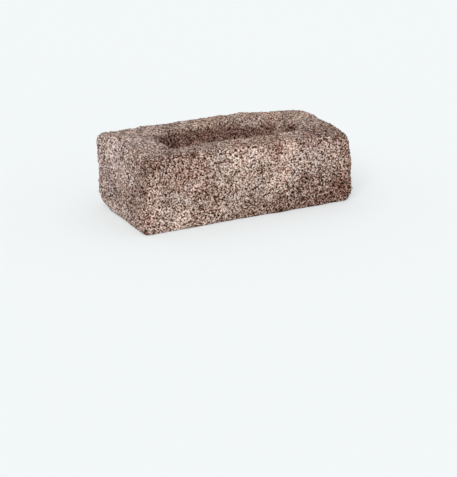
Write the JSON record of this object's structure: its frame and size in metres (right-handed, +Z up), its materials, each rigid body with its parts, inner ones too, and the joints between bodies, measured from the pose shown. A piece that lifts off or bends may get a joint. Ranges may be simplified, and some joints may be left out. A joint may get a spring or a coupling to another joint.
{
  "type": "handmade facing brick",
  "caption": "Sand-faced handmade clay facing brick with a frogged upper bed, soft rounded arrises and uneven faces.",
  "frame": {"origin": "centre of the lower bed, the flat face that the brick lies on", "axes": "+X along the stretcher face, +Y from the front stretcher face to the back one, +Z up, towards the frogged upper bed"},
  "size_m": [0.2181, 0.1051, 0.0717],
  "materials": {
    "fired_clay": "matt, coarse sand-faced"
  },
  "bodies": {
    "root": {"brick": "fired_clay"}
  },
  "joints": []
}
